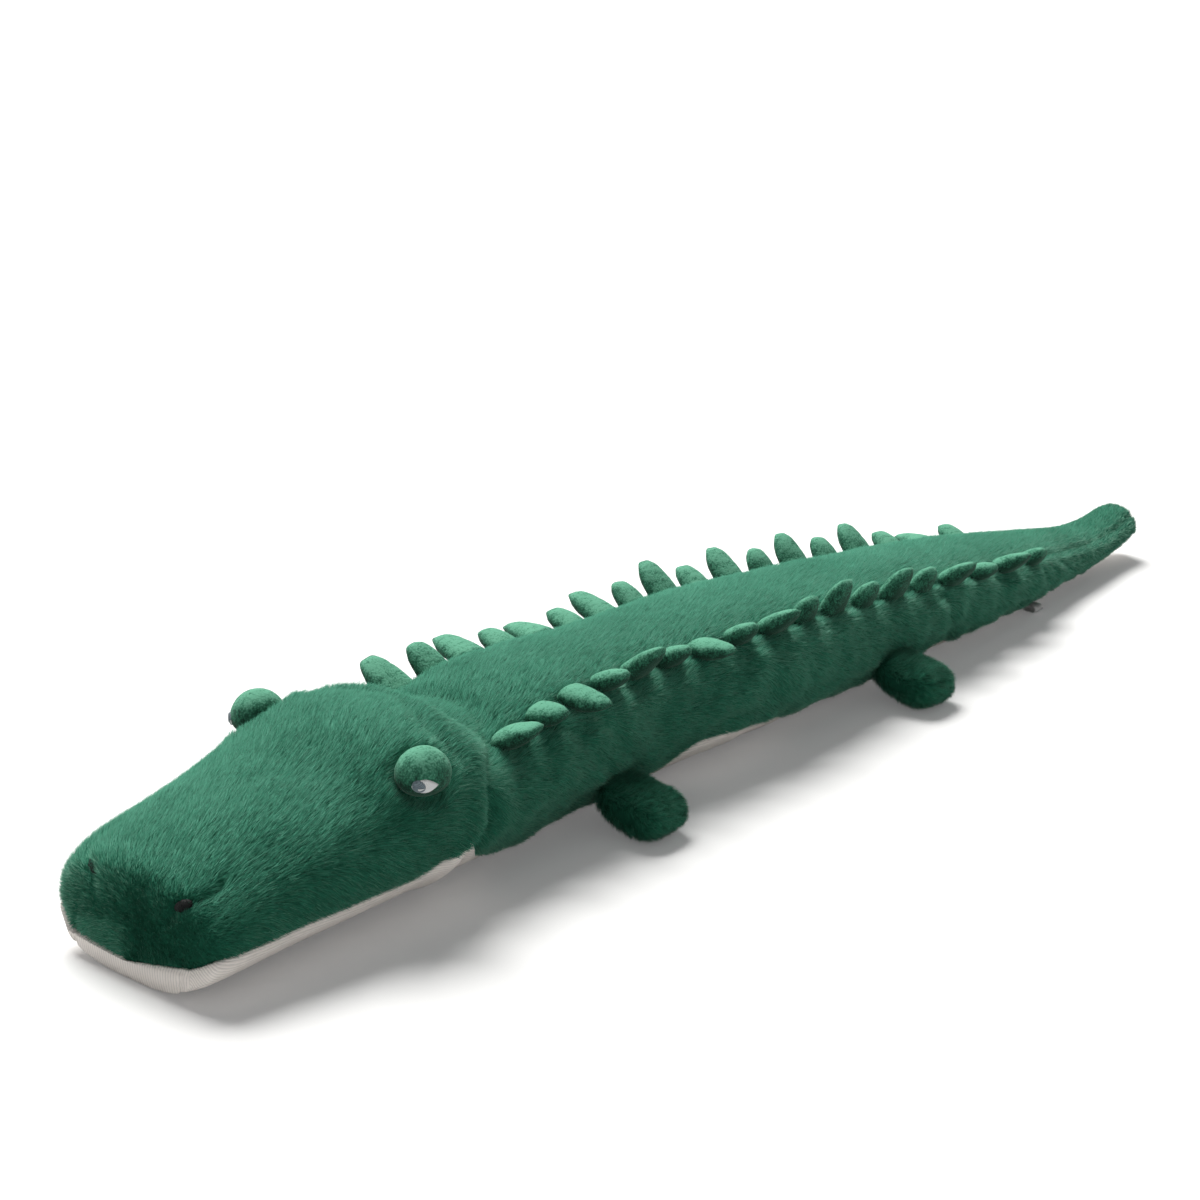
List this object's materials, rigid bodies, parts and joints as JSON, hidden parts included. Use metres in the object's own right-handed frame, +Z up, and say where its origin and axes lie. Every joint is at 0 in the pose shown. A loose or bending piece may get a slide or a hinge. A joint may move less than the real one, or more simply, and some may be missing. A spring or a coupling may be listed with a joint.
{
  "type": "plush crocodile",
  "caption": "Long stuffed crocodile toy lying on its belly, with a boxy snout, velvet eye domes, paddle legs, a tapering tail and two rows of soft spikes along its back.",
  "frame": {"origin": "on the floor under the middle of the toy's length, centred between its sides", "axes": "+Y from the nose to the tail, +X to the toy's left, +Z up"},
  "size_m": [0.2914, 1.4, 0.1529],
  "materials": {
    "green_plush": "long combed pile",
    "cream_rib": "fine ribbed jersey",
    "fibre_filling": "loose polyester fibre",
    "green_velvet": "short pile velvet",
    "dark_green_plush": "short dense pile",
    "white_thread": "satin stitch",
    "blue_grey_thread": "satin stitch",
    "black_thread": "satin stitch",
    "label_tape": "woven tape"
  },
  "bodies": {
    "trunk": {"trunk_stuffing": "fibre_filling", "back_panel": "green_plush", "left_side_panel": "green_plush", "right_side_panel": "green_plush", "belly_panel": "cream_rib", "left_spike_01": "green_velvet", "left_spike_02": "green_velvet", "left_spike_03": "green_velvet", "left_spike_04": "green_velvet", "left_spike_05": "green_velvet", "left_spike_06": "green_velvet", "left_spike_07": "green_velvet", "left_spike_08": "green_velvet", "left_spike_09": "green_velvet", "left_spike_10": "green_velvet", "left_spike_11": "green_velvet", "left_spike_12": "green_velvet", "left_spike_13": "green_velvet", "left_spike_14": "green_velvet", "left_spike_15": "green_velvet", "right_spike_01": "green_velvet", "right_spike_02": "green_velvet", "right_spike_03": "green_velvet", "right_spike_04": "green_velvet", "right_spike_05": "green_velvet", "right_spike_06": "green_velvet", "right_spike_07": "green_velvet", "right_spike_08": "green_velvet", "right_spike_09": "green_velvet", "right_spike_10": "green_velvet", "right_spike_11": "green_velvet", "right_spike_12": "green_velvet", "right_spike_13": "green_velvet", "right_spike_14": "green_velvet", "right_spike_15": "green_velvet"},
    "head": {"head_stuffing": "fibre_filling", "head_cover": "green_plush", "chin_panel": "cream_rib", "left_eye_dome": "green_velvet", "left_eye_white": "white_thread", "left_iris": "blue_grey_thread", "left_nostril": "black_thread", "right_eye_dome": "green_velvet", "right_eye_white": "white_thread", "right_iris": "blue_grey_thread", "right_nostril": "black_thread"},
    "tail": {"tail_stuffing": "fibre_filling", "tail_cover": "green_plush", "tail_under_panel": "cream_rib", "label_loop": "label_tape", "left_spike_16": "green_velvet", "left_spike_17": "green_velvet", "left_spike_18": "green_velvet", "right_spike_16": "green_velvet", "right_spike_17": "green_velvet", "right_spike_18": "green_velvet"},
    "left_foreleg": {"left_foreleg": "dark_green_plush"},
    "left_hind_leg": {"left_hind_leg": "dark_green_plush"},
    "right_foreleg": {"right_foreleg": "dark_green_plush"},
    "right_hind_leg": {"right_hind_leg": "dark_green_plush"}
  },
  "joints": [
    {"name": "neck_swing", "type": "hinge", "parent": "trunk", "child": "head", "pos_m": [0, -0.292, 0.064], "axis": [0, 0, 1], "range_deg": [-15, 15], "stiffness_Nm_per_rad": 0.6},
    {"name": "tail_swing", "type": "hinge", "parent": "trunk", "child": "tail", "pos_m": [0, 0.236, 0.05], "axis": [0, 0, 1], "range_deg": [-20, 20], "stiffness_Nm_per_rad": 0.4},
    {"name": "left_foreleg_flap", "type": "hinge", "parent": "trunk", "child": "left_foreleg", "pos_m": [0.08891, -0.24233, 0.02931], "axis": [0.0831, -0.9965, 0.0089], "range_deg": [-10, 26], "stiffness_Nm_per_rad": 0.15},
    {"name": "right_foreleg_flap", "type": "hinge", "parent": "trunk", "child": "right_foreleg", "pos_m": [-0.08891, -0.24233, 0.02931], "axis": [0.0831, 0.9965, -0.0089], "range_deg": [-10, 26], "stiffness_Nm_per_rad": 0.15},
    {"name": "left_hind_leg_flap", "type": "hinge", "parent": "trunk", "child": "left_hind_leg", "pos_m": [0.08152, 0.15922, 0.02242], "axis": [0.0494, -0.9984, 0.0262], "range_deg": [-10, 26], "stiffness_Nm_per_rad": 0.15},
    {"name": "right_hind_leg_flap", "type": "hinge", "parent": "trunk", "child": "right_hind_leg", "pos_m": [-0.08152, 0.15922, 0.02242], "axis": [0.0494, 0.9984, -0.0262], "range_deg": [-10, 26], "stiffness_Nm_per_rad": 0.15}
  ]
}
